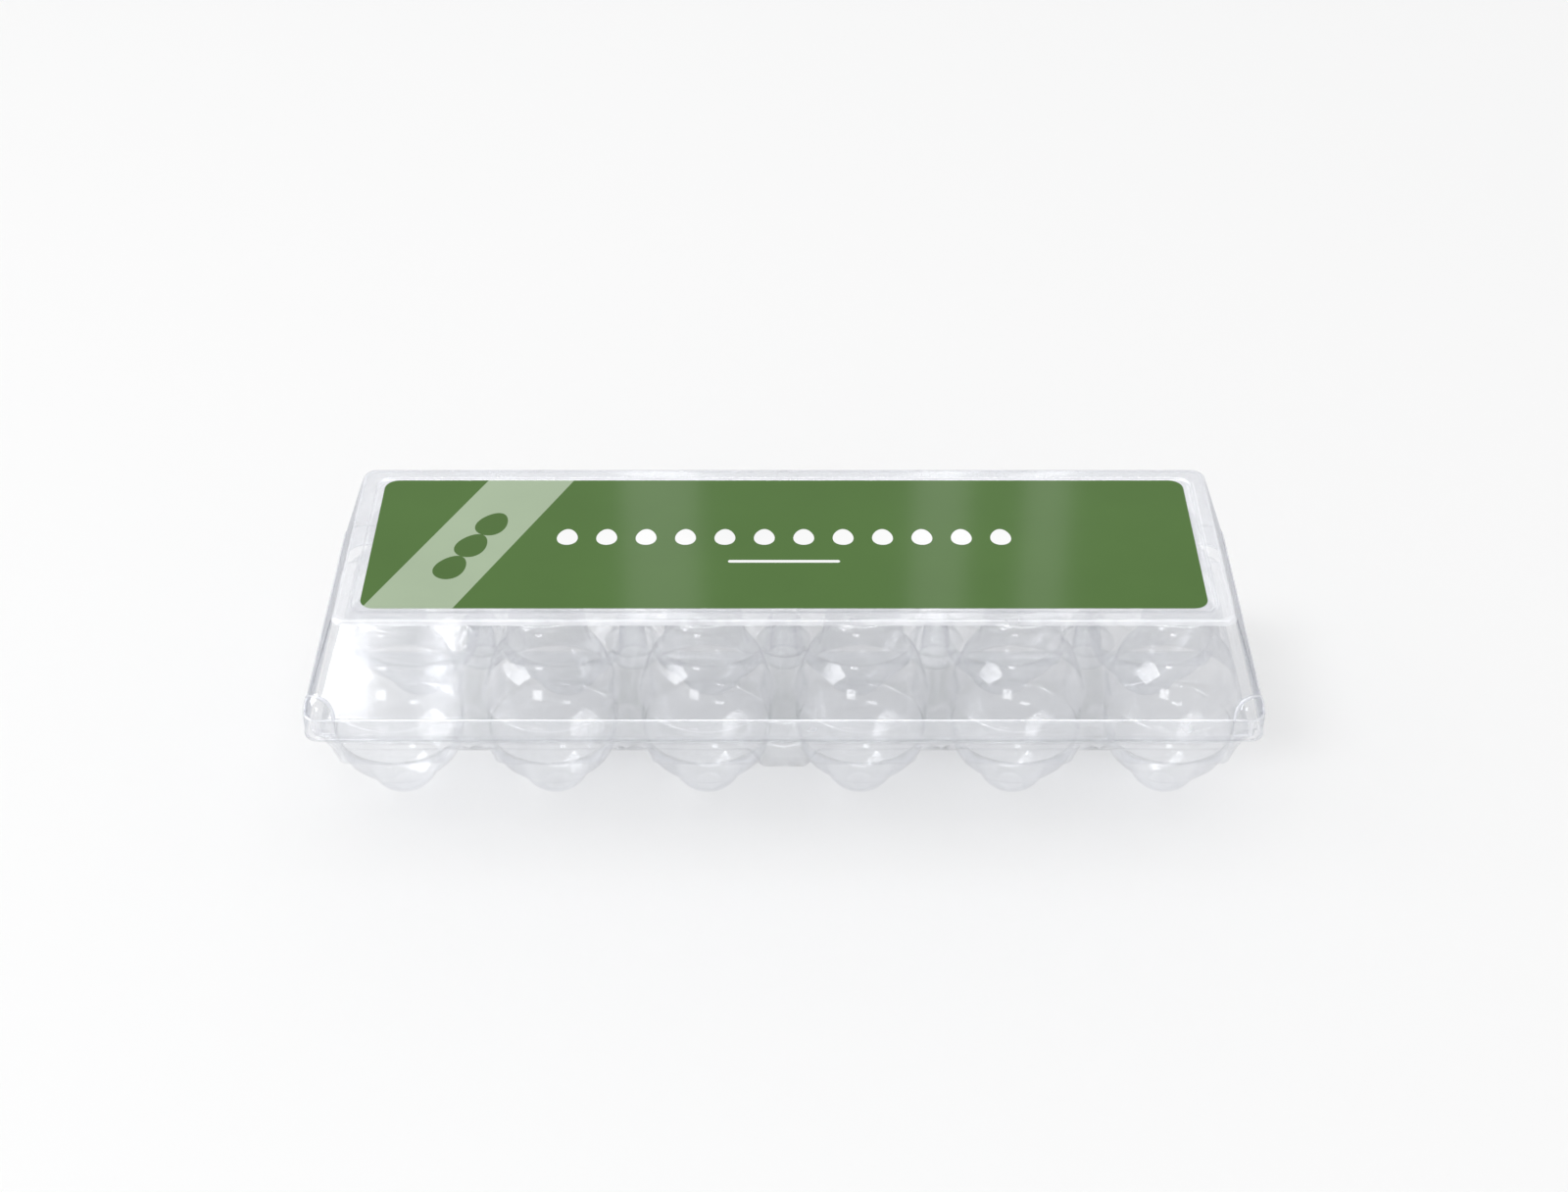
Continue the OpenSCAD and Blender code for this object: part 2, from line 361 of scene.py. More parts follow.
def fill_cell(bm, centre, border, stages, height_at):
    """Rings of quads from a cell's centre to its border. Each stage gives a radius and a height."""
    rings = []
    for k, (radius_at, z) in enumerate(stages):
        ring = []
        left = len(stages) - k
        for point in border:
            out = point - centre
            limit = out.length - mm(0.04) * left
            radius = min(radius_at(math.atan2(out.y, out.x)), limit)
            place = centre + out.normalized() * radius
            ring.append(bm.verts.new((place.x, place.y, height_at(place, z))))
        rings.append(ring)
    edge = [bm.verts.new((p.x, p.y, height_at(p, stages[-1][1]))) for p in border]
    rings.append(edge)
    hub = bm.verts.new((centre.x, centre.y, stages[0][1]))
    first = rings[0]
    for j in range(len(first)):
        bm.faces.new((hub, first[j], first[(j + 1) % len(first)]))
    bridge_rings(bm, rings)


def circle_stage(point):
    radius, z = point
    return (lambda angle: radius), z


def mouth_radius(angle, half_x, half_y, round_r):
    """Radius of a cup's mouth: a circle with a flat front and back."""
    across = abs(math.cos(angle)) / half_x
    along = abs(math.sin(angle)) / half_y
    flat = (across**18 + along**18) ** (-1 / 18)
    return (flat**24 + round_r**24) ** (1 / 24)


def mouth_stage(out, up, rise):
    """Ring of a cup's upper part, out from the mouth's outline and up from the ledge."""
    half_x = FLAT_HALF + (FLAT_HALF_TOP - FLAT_HALF) * rise
    half_y = mm(21.1) + mm(0.4) * rise
    return (lambda angle: mouth_radius(angle, half_x, half_y, ROUND_R) + out), up


def cup_stages():
    """A cup from its foot to the web: bulb, cone, throat, ledge, flat sided mouth."""
    first = -math.asin(BULB_HEIGHT / BULB_R)
    kink = SHOULDER_HEIGHT - SHOULDER_R + BULB_R
    last = -math.asin((BULB_HEIGHT - kink) / BULB_R)
    bulb = [first + (last - first) * k / 9 for k in range(10)]
    outline = [(0.0, 0.0)]
    outline += [(BULB_R * math.cos(a), BULB_HEIGHT + BULB_R * math.sin(a)) for a in bulb]
    outline += [(SHOULDER_R, SHOULDER_HEIGHT), (THROAT_R, BRIDGE_LOW.z - mm(0.1))]
    radii = [mm(1.6)] + [mm(0.4)] * 8 + [mm(1.6), mm(3.5)]
    line = resampled(rounded_line(outline, radii, 3), mm(1.6))[1:]
    stages = [circle_stage(p) for p in line]
    low, high = BRIDGE_LOW.z, WEB_LOW.z
    stages += [
        mouth_stage(mm(-0.5), low, 0.0),
        mouth_stage(mm(-0.12), low + mm(0.12), 0.0),
        mouth_stage(0.0, low + mm(0.5), 0.05),
    ]
    stages += [mouth_stage(0.0, low + (high - low) * t, t) for t in (0.3, 0.55, 0.8)]
    stages += [
        mouth_stage(0.0, high - mm(0.6), 0.93),
        mouth_stage(mm(0.15), high - mm(0.15), 1.0),
        mouth_stage(mm(0.6), high, 1.0),
    ]
    return stages


def tray_height(place, z):
    """Lowers the web to the ledge in the two bridges between the middle cups."""
    across = eased((BRIDGE_HIGH.x + mm(1) - abs(place.x)) / mm(1.6))
    along = eased((abs(place.y) + BRIDGE_HIGH.y + mm(0.8)) / mm(1.6))
    low = BRIDGE_LOW.z
    if z <= low:
        return z
    return z + (low - z) * across * along


def dome_stages():
    """A dome from its flat top to the cover's deck: rounded edge, waist, shoulder, lower side."""
    low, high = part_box("dome_front_1")
    top, base = high.z, DECK_HIGH.z
    base_r = (high.x - low.x) / 2
    outline = [(0.0, top), (DOME_TOP_R, top)]
    for k in range(1, 6):
        a = math.pi / 2 * (1 - k / 5)
        outline.append((DOME_TOP_R + mm(3.4) * math.cos(a), top - mm(6) * (1 - math.sin(a))))
    outline += [
        (DOME_WAIST_R, top - DOME_WAIST_DROP),
        ((DOME_WAIST_R + 2 * DOME_SHOULDER_R) / 3, top - DOME_SHOULDER_DROP + mm(4)),
        (DOME_SHOULDER_R, top - DOME_SHOULDER_DROP),
        (base_r - mm(0.4), base),
        (base_r + mm(1.2), base),
    ]
    radii = [mm(1.5)] + [mm(1.0)] * 5 + [mm(2.2), mm(2.2), mm(2.6), mm(1.8)]
    line = resampled(rounded_line(outline, radii, 4), mm(1.2))[1:-1]
    stages = [circle_stage(p) for p in line]
    return stages + [circle_stage((mm(r), base)) for r in (24.0, 25.4, 27.0, 28.8, 30.8, 33.0)]


def cover_height(place, z):
    """Raises small saddles in the deck between neighbouring domes near the long edges."""
    along = (abs(place.y) - mm(42)) / mm(5)
    across = min(abs(place.x - x) for x in SADDLES) / mm(3.2)
    return max(z, DECK_HIGH.z + SADDLE_HEIGHT * math.exp(-across * across - along * along))


def build_cells(half_x, half_y, corner, stages, height_at):
    """Twelve cells side by side, joined into one sheet. Returns the sheet as a bmesh."""
    bm = bmesh.new()
    for row in ROWS:
        for i in range(1, COLUMNS + 1):
            centre = CELLS[row, i]
            inner = PITCH / 2
            left = half_x + centre.x if i == 1 else inner
            right = half_x - centre.x if i == COLUMNS else inner
            front = half_y + centre.y if row == "front" else inner
            back = half_y - centre.y if row == "rear" else inner
            border = cell_border(centre, left, right, front, back, (half_x, half_y, corner))
            fill_cell(bm, centre, border, stages, height_at)
    bmesh.ops.remove_doubles(bm, verts=bm.verts, dist=mm(0.02))
    return bm


def extend_edge(bm, rings):
    """Grows the sheet's outer edge outward through rounded rectangles at given heights."""
    edge = [e for e in bm.edges if e.is_boundary]
    start = edge[0].verts[0]
    loop = [start]
    previous, current = None, start
    while True:
        following = [e.other_vert(current) for e in current.link_edges if e.is_boundary]
        nxt = next(v for v in following if v is not previous)
        if nxt is start:
            break
        loop.append(nxt)
        previous, current = current, nxt
    area = sum(a.co.x * b.co.y - b.co.x * a.co.y for a, b in zip(loop, loop[1:] + loop[:1]))
    if area < 0:
        loop.reverse()
    grown = [loop]
    for half_x, half_y, corner, z in rings:
        ring = []
        for v in loop:
            place = onto_rounded(v.co.x, v.co.y, half_x, half_y, corner)
            ring.append(bm.verts.new((place.x, place.y, z)))
        grown.append(ring)
    bridge_rings(bm, grown)


def build_tray(mat):
    """Tray of cups with its band and flange, as one formed sheet."""
    half_x, half_y = BAND_HIGH.x, BAND_HIGH.y
    corner = BAND_CORNER
    bm = build_cells(half_x, half_y, corner, cup_stages(), tray_height)
    top = FLANGE_HIGH.z
    web = WEB_LOW.z
    rings = [(half_x + mm(0.06), half_y + mm(0.06), corner, web + mm(0.5))]
    rings += [
        (half_x + mm(0.1 + 0.4 * t), half_y + mm(0.1 + 0.4 * t), corner, web + (top - web) * t)
        for t in (0.3, 0.55, 0.8)
    ]
    rings += [
        (half_x + mm(0.7), half_y + mm(0.7), corner, top - mm(0.35)),
        (half_x + mm(1.1), half_y + mm(1.2), corner - mm(1), top - mm(0.05)),
        (FLANGE_HIGH.x - mm(0.9), FLANGE_HIGH.y - mm(1.6), mm(5.5), top),
        (FLANGE_HIGH.x - mm(0.2), FLANGE_HIGH.y - mm(0.2), mm(5), top),
        (FLANGE_HIGH.x, FLANGE_HIGH.y, mm(5), top - mm(0.1)),
    ]
    extend_edge(bm, rings)
    bmesh.ops.recalc_face_normals(bm, faces=bm.faces)
    nodes = [f"cup_{row}_{i}" for row in ROWS for i in range(1, COLUMNS + 1)]
    nodes += ["tray_web", "tray_band", "tray_flange", "front_bridge", "rear_bridge"]
    return finish_mesh("tray_sheet", bm, [mat], "tray", nodes,
                       thickness=FILM, shades=False, inward=1)


def build_cover(mat):
    """Inner cover of domes, as one formed sheet."""
    bm = build_cells(DECK_HIGH.x, DECK_HIGH.y, DECK_CORNER, dome_stages(), cover_height)
    bmesh.ops.recalc_face_normals(bm, faces=bm.faces)
    nodes = [f"dome_{row}_{i}" for row in ROWS for i in range(1, COLUMNS + 1)]
    nodes += ["cover_deck"]
    return finish_mesh("cover_sheet", bm, [mat], "inner_cover", nodes,
                       thickness=FILM, shades=False)


def build_cones(name, mat, body, node, low, high, base_r, tip_r):
    """Hollow cones with rounded tips and flared feet, one at every crossing of four cells."""
    outline = [(base_r + mm(1.0), low), (base_r, low + mm(0.02)), (tip_r, high), (0.0, high)]
    line = resampled(rounded_line(outline, [mm(0.9), mm(1.6)], 5), mm(1.5))[:-1]
    bm = bmesh.new()
    for i in range(1, COLUMNS):
        x = CELLS["front", i].x + PITCH / 2
        rings = []
        for radius, z in line:
            turns = [2 * math.pi * k / 40 for k in range(40)]
            ring = [(x + radius * math.cos(a), radius * math.sin(a), z) for a in turns]
            rings.append([bm.verts.new(place) for place in ring])
        bridge_rings(bm, rings)
        tip = bm.verts.new((x, 0, high))
        last = rings[-1]
        for j in range(len(last)):
            bm.faces.new((last[j], last[(j + 1) % len(last)], tip))
    bmesh.ops.recalc_face_normals(bm, faces=bm.faces)
    return finish_mesh(name, bm, [mat], body, [node], thickness=FILM, shades=False)


# ---------------------------------------------------------------- lid


def lid_plan():
    """Places round the lid: kind, side signs, angle in a corner or share along a straight, and
    distance along the outline from the nearest corner's middle."""
    places = []
    half_arc = math.pi / 4 * SKIRT_CORNER
    for (sx, sy), turn in (((1, -1), 0), ((1, 1), 90), ((-1, 1), 180), ((-1, -1), 270)):
        for k in range(15):
            angle = math.radians(turn - 90 + 90 * k / 14)
            places.append(("corner", sx, sy, angle, abs(k / 7 - 1) * half_arc))
        along_x = sx == sy
        half = (SKIRT_HIGH.x if along_x else SKIRT_HIGH.y) - SKIRT_CORNER
        count = 200 if along_x else 80
        for k in range(1, count):
            u = 0.4 * k / count + 0.3 * (1 - math.cos(math.pi * k / count))
            places.append(("side", sx, sy, u, half_arc + 2 * half * min(u, 1 - u)))
    return places


def lid_normal(place):
    """Outward direction in plan."""
    kind, sx, sy, value, _ = place
    if kind == "corner":
        return Vector((math.cos(value), math.sin(value)))
    return Vector((0, sy)) if sx == sy else Vector((sx, 0))


def lid_point(place, inset, corner):
    """Point in plan on the rounded rectangle that is inset from the skirt's outline."""
    kind, sx, sy, value, _ = place
    core_x = SKIRT_HIGH.x - inset - corner
    core_y = SKIRT_HIGH.y - inset - corner
    if kind == "corner":
        return Vector((sx * core_x, sy * core_y)) + corner * lid_normal(place)
    if sx == sy:
        return Vector((sx * core_x * (1 - 2 * value), sy * (core_y + corner)))
    return Vector((sx * (core_x + corner), sy * core_y * (1 - 2 * value)))


def front_reach(place):
    """Distance from the nearest front corner's middle, negative along the front, or None."""
    kind, sx, sy, value, distance = place
    if kind == "corner" and sy < 0:
        turned = value + math.pi / 4 if sx > 0 else math.pi * 5 / 4 - value
        return turned * SKIRT_CORNER
    if kind == "side" and sx == sy and sy < 0:
        return -distance
    return None


def dimple(place, z):
    """How far the skirt is pressed in by the snap dimple beside a front corner."""
    reach = front_reach(place)
    if reach is None:
        return 0.0
    across = eased((DIMPLE_HALF - abs(reach + DIMPLE_REACH)) / mm(0.8))
    up = eased((z - DIMPLE_LOW.z) / mm(0.8)) * eased((DIMPLE_HIGH.z + mm(0.3) - z) / mm(0.8))
    return DIMPLE_DEPTH * across * up


def pushed_by_boss(place, point, z):
    """Moves a wall point out to the round boss at a front corner where the boss stands proud."""
    low, high = SKIRT_HIGH.z, BOSS_HIGH.z
    if point.y > 0 or z < low - mm(0.6) or z >= high:
        return point
    rise = max(0.0, (z - low) / (high - low))
    radius = BOSS_RADIUS * math.sqrt(1 - rise * rise)
    side = 1 if point.x > 0 else -1
    centre = Vector((side * (SKIRT_HIGH.x - BOSS_INSET), BOSS_RADIUS - SKIRT_HIGH.y))
    out = lid_normal(place)
    offset = point - centre
    distance = offset.dot(out)
    aside = (offset - distance * out).length
    if aside >= radius:
        return point
    proud = math.sqrt(radius * radius - aside * aside) - distance
    if proud <= 0:
        return point
    return point + out * proud


def crease_highlight(bm, side, wall_inset, wall_corner):
    """Painted highlight: a fine bright tube in the highlight film along the crease where a boss
    runs into the leaning wall.
    """
    low, high = SKIRT_HIGH.z, BOSS_HIGH.z
    path = []
    for k in range(29):
        a = math.pi * k / 28
        x = SKIRT_HIGH.x - BOSS_INSET - BOSS_RADIUS * math.cos(a)
        z = low + (high - low) * 0.92 * math.sin(a)
        inset, corner = wall_inset(z), wall_corner(z)
        beyond = max(0.0, x - (SKIRT_HIGH.x - inset - corner))
        y = SKIRT_HIGH.y - inset - corner + math.sqrt(max(0.0, corner * corner - beyond * beyond))
        path.append(Vector((side * x, -y, z)))
    rings = []
    for k, point in enumerate(path):
        ahead = (path[min(k + 1, len(path) - 1)] - path[max(k - 1, 0)]).normalized()
        across = ahead.cross(Vector((0, -1, 0))).normalized()
        out = across.cross(ahead).normalized()
        turns = [math.pi * j / 4 for j in range(8)]
        ring = [across * math.cos(t) + out * math.sin(t) for t in turns]
        rings.append([bm.verts.new(point + CREASE_HIGHLIGHT_RADIUS * offset) for offset in ring])
    first = len(bm.faces)
    bridge_rings(bm, rings)
    bm.faces.new(rings[0][::-1])
    bm.faces.new(rings[-1])
    bm.faces.ensure_lookup_table()
    for face in bm.faces[first:]:
        face.material_index = 1


def build_lid(mat, highlight_mat, brightened_mat):
    """Smooth outer lid: lip, skirt, ledge, leaning walls, raised border and label panel.

    The formed-in edges take the second material, a bright milky film that paints in highlight
    lines, and the skirt and the border the third, a milkier, lighter film that paints in light."""
    plan = lid_plan()
    lean = SKIRT_HIGH.x - RIM_HIGH.x
    low, high = SKIRT_HIGH.z, RIM_HIGH.z
    recess = high - PANEL_HIGH.z
    lip = LIP_HIGH.x - SKIRT_HIGH.x

    def wall_inset(z):
        return WALL_LEDGE + (lean - WALL_LEDGE) * (z - low) / (high - low)

    def wall_corner(z):
        return SKIRT_CORNER + (TOP_CORNER - SKIRT_CORNER) * (z - low) / (high - low)

    levels, folds = [], set()

    # Levels added with fold take the painted-highlight film.
    def add_levels(items, fold=False):
        if fold:
            folds.update(range(len(levels), len(levels) + len(items)))
        levels.extend(items)

    add_levels([(mm(0.5), LIP_LOW.z), (mm(0.1), LIP_LOW.z)])
    add_levels([(-lip * 0.8, LIP_LOW.z + mm(0.12)), (-lip, LIP_LOW.z + mm(0.4))], fold=True)
    add_levels([(-lip, LIP_HIGH.z - mm(0.15)), (-lip * 0.3, LIP_HIGH.z + mm(0.1))])
    skirt_low = LIP_HIGH.z + mm(0.3)
    skirt_start = len(levels)
    add_levels([(0.0, skirt_low + (low - mm(0.5) - skirt_low) * k / 16) for k in range(17)])
    milky = set(range(skirt_start, len(levels)))
    add_levels([(mm(0.04), low - mm(0.3)), (mm(0.16), low - mm(0.1)), (mm(0.36), low)], fold=True)
    add_levels([(wall_inset(low) - mm(0.02), low + mm(0.06))], fold=True)
    steps = [mm(0.35 + 0.55 * k) for k in range(14)]
    rest = high - mm(1.5) - low
    steps += [steps[-1] + (rest - steps[-1]) * (k + 1) / 9 for k in range(9)]
    add_levels([(wall_inset(low + rise), low + rise) for rise in steps])
    inner = lean + RIM_WIDTH
    rim_start = len(levels)
    add_levels([(lean - mm(0.24), high - mm(0.8)), (lean + mm(0.08), high - mm(0.3))], fold=True)
    add_levels([(lean + mm(0.5), high - mm(0.07)), (lean + mm(1.0), high)], fold=True)
    add_levels([(lean + RIM_WIDTH / 2, high), (inner - mm(0.5), high)])
    add_levels([(inner - mm(0.1), high - mm(0.06))])
    add_levels([(inner + mm(0.1), high - recess / 2)], fold=True)
    add_levels([(inner + mm(0.35), high - recess + mm(0.06))], fold=True)
    add_levels([(inner + mm(0.8), high - recess), (inner + mm(3.0), high - recess)])
    milky.update(range(rim_start, len(levels)))

    bm = bmesh.new()
    rings, pressed = [], {}
    for inset, z in levels:
        corner = wall_corner(z) if z > low else SKIRT_CORNER
        ring = []
        for place in plan:
            point = lid_point(place, inset + dimple(place, z), corner)
            point = pushed_by_boss(place, point, z)
            vert = bm.verts.new((point.x, point.y, z))
            pressed[vert] = dimple(place, z)
            ring.append(vert)
        rings.append(ring)
    bridge_rings(bm, rings)
    count = len(plan)
    # Fold levels and the rim round each snap dimple get the painted-highlight film; skirt and
    # border levels get the milkier, lighter film, painted light.
    for k, face in enumerate(bm.faces):
        press = sum(pressed[v] for v in face.verts) / 4
        if k // count + 1 in folds or mm(0.3) < press < mm(0.7):
            face.material_index = 1
        elif k // count + 1 in milky:
            face.material_index = 2
    bm.faces.new(rings[-1])
    bmesh.ops.recalc_face_normals(bm, faces=bm.faces)
    for side in (-1, 1):
        crease_highlight(bm, side, wall_inset, wall_corner)
    nodes = ["lid_front_wall", "lid_rear_wall", "lid_left_wall", "lid_right_wall"]
    nodes += ["lid_skirt", "lid_lip", "lid_rim", "lid_panel"]
    nodes += ["left_corner_boss", "right_corner_boss"]
    nodes += ["left_snap_dimple", "right_snap_dimple"]
    return finish_mesh("lid_sheet", bm, [mat, highlight_mat, brightened_mat], "lid", nodes,
                       thickness=FILM, shades=False)


# ---------------------------------------------------------------- label


def raised_shape(bm, outline, low, high, mat_index=0):
    """Thin flat plate with the given outline."""
    bottom = [bm.verts.new((x, y, low)) for x, y in outline]
    top = [bm.verts.new((x, y, high)) for x, y in outline]
    bridge_rings(bm, [bottom, top])
    faces = [bm.faces.new(top), bm.faces.new(list(reversed(bottom)))]
    for face in faces:
        face.material_index = mat_index


def egg_outline(centre, length, width, turn=0.0, count=40):
    """Egg shape with its blunt end down, before it is turned."""
    points = []
    for k in range(count):
        a = 2 * math.pi * k / count
        y = math.sin(a) * length / 2
        x = math.cos(a) * width / 2 * (1 - 0.16 * math.sin(a))
        points.append((
            centre[0] + x * math.cos(turn) - y * math.sin(turn),
            centre[1] + x * math.sin(turn) + y * math.cos(turn),
        ))
    return points


def label_outline(corner, steps=10):
    points = []
    for sx, sy, turn in ((1, -1, -90), (1, 1, 0), (-1, 1, 90), (-1, -1, 180)):
        edge = LABEL_HIGH.y if sy > 0 else LABEL_LOW.y
        for k in range(steps + 1):
            a = math.radians(turn + 90 * k / steps)
            x = sx * (LABEL_HIGH.x - corner) + corner * math.cos(a)
            y = edge - sy * corner + corner * math.sin(a)
            points.append((x, y))
    return points


def build_label(green, pale, white, deep):
    """Label with a pale diagonal stripe and plain printed shapes. Returns its three pieces."""
    low, high = PANEL_HIGH.z + mm(0.02), LABEL_HIGH.z
    bm = bmesh.new()
    raised_shape(bm, label_outline(LABEL_CORNER), low, high)
    front, depth = LABEL_LOW.y, LABEL_HIGH.y - LABEL_LOW.y
    starts = [edge - LABEL_HIGH.x for edge in STRIPE_EDGES]
    across = Vector((depth, -STRIPE_SHIFT, 0)).normalized()
    for x in starts:
        geom = bm.verts[:] + bm.edges[:] + bm.faces[:]
        bmesh.ops.bisect_plane(bm, geom=geom, plane_co=(x, front, 0), plane_no=across)
    for face in bm.faces:
        centre = face.calc_center_median()
        sides = [(centre - Vector((x, front, 0))).dot(across) > 0 for x in starts]
        if sides[0] != sides[1]:
            face.material_index = 1
    bmesh.ops.recalc_face_normals(bm, faces=bm.faces)
    label = finish_mesh("label_film", bm, [green, pale], "lid", ["label"])
    label.visible_diffuse = False
    for face in label.data.polygons:
        face.use_smooth = False

    printed = high + PRINT_THICKNESS
    bm = bmesh.new()
    for k in range(ROW_EGGS):
        centre = (ROW_PITCH * (k - (ROW_EGGS - 1) / 2), ROW_Y)
        raised_shape(bm, egg_outline(centre, mm(8.6), mm(6.6)), high, printed)
    bar = []
    for k in range(25):
        a = math.pi * k / 24 - math.pi / 2
        bar.append((BAR_HALF + BAR_RADIUS * math.cos(a), BAR_Y + BAR_RADIUS * math.sin(a)))
    bar += [(-x, 2 * BAR_Y - y) for x, y in bar]
    raised_shape(bm, bar, high, printed)
    bmesh.ops.recalc_face_normals(bm, faces=bm.faces)
    prints = finish_mesh("label_white_print", bm, [white], "lid", [])

    bm = bmesh.new()
    tilt = math.atan2(depth, STRIPE_SHIFT)
    for k in (-1, 0, 1):
        along = STRIPE_EGG_PITCH * k
        centre = (STRIPE_EGG_X + along * math.cos(tilt), STRIPE_EGG_Y + along * math.sin(tilt))
        raised_shape(bm, egg_outline(centre, mm(13), mm(9.6), tilt - math.pi / 2), high, printed)
    bmesh.ops.recalc_face_normals(bm, faces=bm.faces)
    marks = finish_mesh("label_stripe_print", bm, [deep], "lid", [])
    for piece in (prints, marks):
        for face in piece.data.polygons:
            face.use_smooth = False
    return label, prints, marks


# ---------------------------------------------------------------- folds


def build_fold(name, mat, node, side, near, far):
    """Living hinge: a strip of bent film from one panel's edge to the other's."""
    bm = bmesh.new()
    rings = []
    steps = 8
    bulge = mm(0.35)
    count = 60
    for k in range(steps + 1):
        t = k / steps
        y = near[0] + (far[0] - near[0]) * t + side * bulge * math.sin(math.pi * t)
        z = near[1] + (far[1] - near[1]) * t
        xs = [HINGE_LENGTH * (j / count - 0.5) for j in range(count + 1)]
        rings.append([bm.verts.new((x, y, z)) for x in xs])
    bridge_rings(bm, rings, closed=False)
    bmesh.ops.recalc_face_normals(bm, faces=bm.faces)
    mesh = bpy.data.meshes.new(name)
    bm.to_mesh(mesh)
    bm.free()
    mesh.materials.append(mat)
    for face in mesh.polygons:
        face.use_smooth = True
    fold = bpy.data.objects.new(name, mesh)
    bpy.context.scene.collection.objects.link(fold)
    shell = fold.modifiers.new("film", "SOLIDIFY")
    shell.thickness = mm(0.15)
    shell.offset = 0
    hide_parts(node)
    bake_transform(fold)
    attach(fold, "tray")
    return fold


# ---------------------------------------------------------------- stage


def build_floor():
    mat, out = new_material("floor_paint")
    noise = add(mat, "ShaderNodeTexNoise", Scale=3.0, Detail=2.0)
    tone = add(mat, "ShaderNodeMix", data_type="RGBA")
    tone.inputs["A"].default_value = (0.9, 0.9, 0.9, 1)
    tone.inputs["B"].default_value = (0.91, 0.91, 0.91, 1)
    link(mat, noise.outputs["Fac"], tone.inputs["Factor"])
    shader = add(mat, "ShaderNodeBsdfDiffuse")
    link(mat, tone.outputs["Result"], shader.inputs["Color"])
    link(mat, shader.outputs[0], out.inputs["Surface"])
    bm = bmesh.new()
    low = CAD_BOX[0].z
    corners = ((-5, -1.7), (5, -1.7), (5, 7), (-5, 7))
    bm.faces.new([bm.verts.new((x, y, low)) for x, y in corners])
    mesh = bpy.data.meshes.new("floor")
    bm.to_mesh(mesh)
    bm.free()
    mesh.materials.append(mat)
    floor = bpy.data.objects.new("floor", mesh)
    bpy.context.scene.collection.objects.link(floor)


def add_panel(name, place, aim, size, radiance, only_reflected=True):
    """Rectangular soft light that faces a point. Most of them are only there to be mirrored."""
    light = bpy.data.lights.new(name, "AREA")
    light.shape = "RECTANGLE"
    light.size, light.size_y = size
    light.energy = radiance * math.pi * size[0] * size[1]
    lamp = bpy.data.objects.new(name, light)
    lamp.location = place
    lamp.rotation_euler = (Vector(aim) - Vector(place)).to_track_quat("-Z", "Y").to_euler()
    lamp.visible_diffuse = not only_reflected
    bpy.context.scene.collection.objects.link(lamp)
    return lamp


def build_studio():
    """White room light, a key from the front left, tall softboxes and strips to be mirrored."""
    world = bpy.data.worlds.new("studio")
    world.use_nodes = True
    back = world.node_tree.nodes["Background"]
    back.inputs["Color"].default_value = (1, 1, 1, 1)
    back.inputs["Strength"].default_value = 0.95
    bpy.context.scene.world = world
    key = add_panel("key", (-1.01, -0.58, 1.87), (0, 0, 0), (0.5, 0.5), 9, only_reflected=False)
    key.visible_glossy = False
    add_panel("left_softbox", (-1.59, -0.28, 1.18), (0, 0, 0.05), (2.0, 1.9), 6)
    add_panel("top_softbox", (0, -0.35, 2.2), (0, 0, 0), (3.6, 1.1), 6)
    add_panel("front_softbox", (-0.76, -2.0, 0.1), (-0.76, 0, 0.1), (0.63, 0.9), 5.5)
    add_panel("front_strip", (-0.37, -2.0, 0.1), (-0.37, 0, 0.1), (0.03, 0.9), 3)
    for x, width in ((-0.163, 0.1), (0.208, 0.073), (0.348, 0.06)):
        name = f"back_strip_{round(x * 1000)}"
        add_panel(name, (x, 2.1, 1.6), (x * 0.3, 0, 0.08), (width, 0.9), 2.4)


def keep_softboxes_off(pieces):
    """Stops the large softboxes from washing flat pieces out, seen at a low angle."""
    spared = bpy.data.collections.new("spared_by_softboxes")
    for piece in pieces:
        spared.objects.link(piece)
    for member in spared.collection_objects:
        member.light_linking.link_state = "EXCLUDE"
    for name in ("left_softbox", "top_softbox", "front_softbox"):
        bpy.data.objects[name].light_linking.receiver_collection = spared


def build_camera():
    """Straight on, 37 degrees down, with a long lens."""
    camera = bpy.data.cameras.new("camera")
    camera.sensor_width = 36
    camera.lens = 58.5
    camera.clip_start = 0.01
    eye = bpy.data.objects.new("camera", camera)
    eye.location = (0, -0.659, 0.554)
    eye.rotation_euler = (math.radians(53), 0, 0)
    bpy.context.scene.collection.objects.link(eye)
    bpy.context.scene.camera = eye


def set_light_paths():
    """Enough passes for light to cross all the layers of film, and plain display colours."""
    scene = bpy.context.scene
    scene.cycles.transparent_max_bounces = 64
    scene.cycles.max_bounces = 8
    scene.cycles.glossy_bounces = 3
    scene.view_settings.view_transform = "Standard"


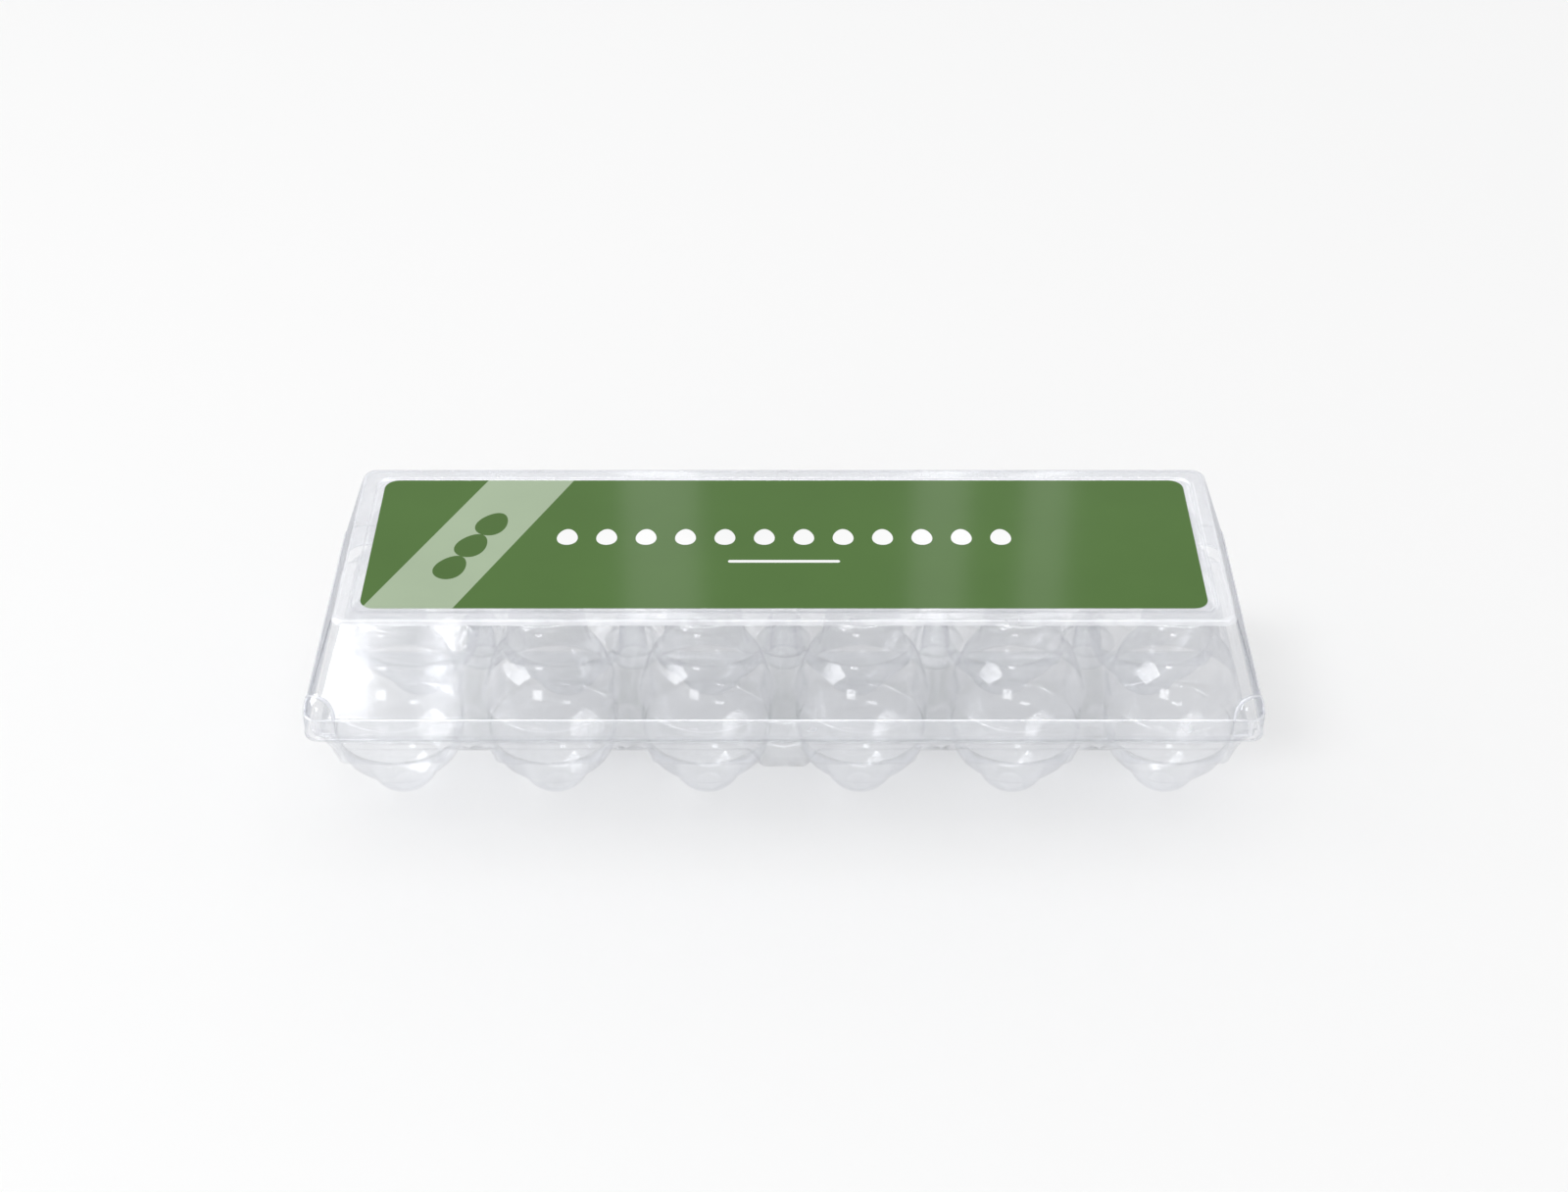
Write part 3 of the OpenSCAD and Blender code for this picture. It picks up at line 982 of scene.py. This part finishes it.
build_camera()
set_light_paths()
build_floor()
build_studio()

tray_film = clear_film("tray_film", (0.983, 0.985, 0.988), (0.93, 0.933, 0.945),
                       0.035, 0.09, 90.0, edge_shine=0.65)
cover_film = clear_film("cover_film", (0.968, 0.969, 0.971), (0.965, 0.966, 0.972),
                        0.03, 0.08, 50.0, edge_shine=0.45)
# The lid's mirror colour is greyed: painted shade in its reflections.
lid_film = clear_film("lid_film", (0.968, 0.969, 0.972), (0.78, 0.79, 0.82),
                      0.03, 0.06, 18.0, 0.06, (0.72, 0.73, 0.76), 0.055)
# Painted highlight: a bright milky copy of the film for the formed-in edges, standing in for the
# light lines along them.
fold_highlight_film = clear_film("lid_fold_painted_highlight", (0.99, 0.99, 0.995), (0.9, 0.905, 0.92),
                       0.4, 0.12, 12.0, 0.02, (0.82, 0.83, 0.85))
# Painted light: a milkier, lighter copy of the lid film for the skirt and the raised border.
skirt_brightened_film = clear_film("lid_skirt_brightened_film", (0.985, 0.986, 0.99), (0.85, 0.855, 0.875),
                        0.2, 0.08, 18.0, 0.06, (0.8, 0.81, 0.83))

build_tray(tray_film)
build_cover(cover_film)
build_lid(lid_film, fold_highlight_film, skirt_brightened_film)
build_cones("support_posts_film", tray_film, "tray", "support_posts", POST_LOW.z, POST_HIGH.z,
            (POST_HIGH.y - POST_LOW.y) / 2, mm(4))
build_cones("post_caps_film", cover_film, "inner_cover", "post_caps", CAP_LOW.z, CAP_HIGH.z,
            (CAP_HIGH.y - CAP_LOW.y) / 2, mm(5.4))

label_green = printed_film("label_green", (0.082, 0.165, 0.042))
label_pale = printed_film("label_pale", (0.37, 0.46, 0.32))
label_white = printed_film("label_white", (0.88, 0.88, 0.88))
label_deep = printed_film("label_deep", (0.075, 0.15, 0.038))
keep_softboxes_off(build_label(label_green, label_pale, label_white, label_deep))

build_fold("front_fold", cover_film, "front_hinge", -1,
           (FLANGE_LOW.y + mm(0.1), FLANGE_HIGH.z - mm(0.25)),
           (DECK_LOW.y + mm(0.1), DECK_HIGH.z - mm(0.25)))
build_fold("rear_fold", lid_film, "rear_hinge", 1,
           (FLANGE_HIGH.y - mm(0.1), FLANGE_HIGH.z - mm(0.25)),
           (LIP_HIGH.y - mm(0.45), LIP_LOW.z + mm(0.1)))
